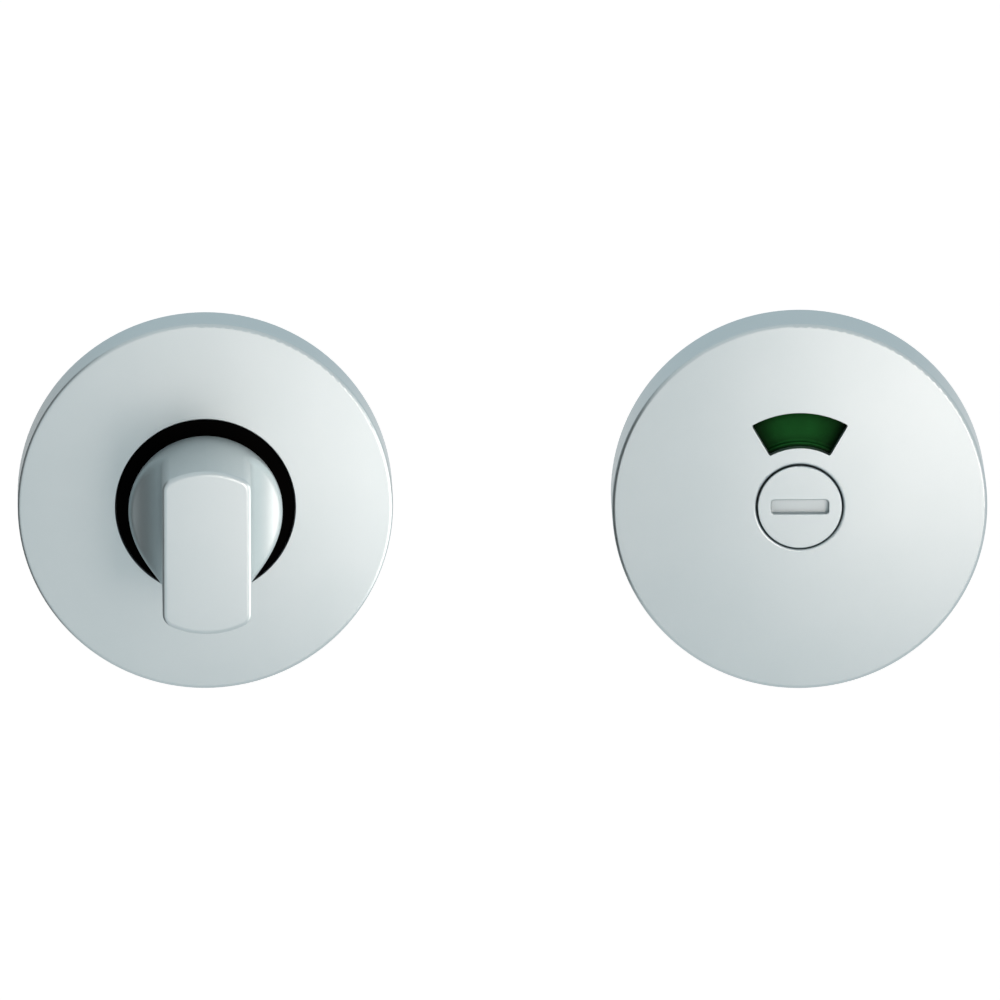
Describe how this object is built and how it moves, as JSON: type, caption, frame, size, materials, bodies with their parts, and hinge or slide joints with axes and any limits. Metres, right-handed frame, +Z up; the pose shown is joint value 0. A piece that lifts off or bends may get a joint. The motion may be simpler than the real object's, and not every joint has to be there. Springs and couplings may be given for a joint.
{
  "type": "bathroom thumb turn lock",
  "caption": "Bathroom door lock set: round rose with a thumb turn on a square spindle, and a matching round rose with a coin release and a vacant or engaged window.",
  "frame": {"origin": "on the thumb turn's axis, in the plane of the door face that the roses rest on", "axes": "+Z up, +X from the thumb turn half to the release half, +Y into the door, so that both fronts look along -Y"},
  "size_m": [0.1343, 0.0728, 0.052],
  "materials": {
    "satin_aluminium": "satin anodised, silver",
    "black_acetal": "matt black moulding",
    "grey_nylon": "glass filled nylon, matt",
    "spring_steel": "dark phosphated spring steel",
    "zinc_plated_steel": "bright zinc plating",
    "brass": "turned brass",
    "green_plastic": "gloss moulding, dark green",
    "red_plastic": "gloss moulding, red"
  },
  "bodies": {
    "roses": {"inside_rose_cover": "satin_aluminium", "bearing_bush": "black_acetal", "inside_base_plate": "grey_nylon", "inside_spring_washer": "spring_steel", "fixing_screws": "zinc_plated_steel", "outside_rose_cover": "satin_aluminium", "outside_base_plate": "grey_nylon", "outside_spring_washer": "spring_steel", "threaded_sleeves": "brass"},
    "turn": {"thumb_turn": "satin_aluminium", "spindle": "zinc_plated_steel", "spindle_set_screw": "spring_steel", "inside_retaining_ring": "spring_steel", "inside_shim_washer": "spring_steel"},
    "release": {"release_button": "satin_aluminium", "release_follower": "zinc_plated_steel", "release_screw": "zinc_plated_steel", "indicator_green": "green_plastic", "indicator_red": "red_plastic", "outside_retaining_ring": "spring_steel", "outside_shim_washer": "spring_steel"}
  },
  "joints": [
    {"name": "thumb_turn_hinge", "type": "hinge", "parent": "roses", "child": "turn", "pos_m": [0, 0, 0], "axis": [0, 1, 0], "range_deg": [0, 90]},
    {"name": "release_hinge", "type": "hinge", "parent": "roses", "child": "release", "pos_m": [0.0823, 0, 0], "axis": [0, 1, 0], "range_deg": [-90, 0]}
  ],
  "couplings": [
    {"joint": "release_hinge", "follows": "thumb_turn_hinge", "ratio": -1}
  ]
}
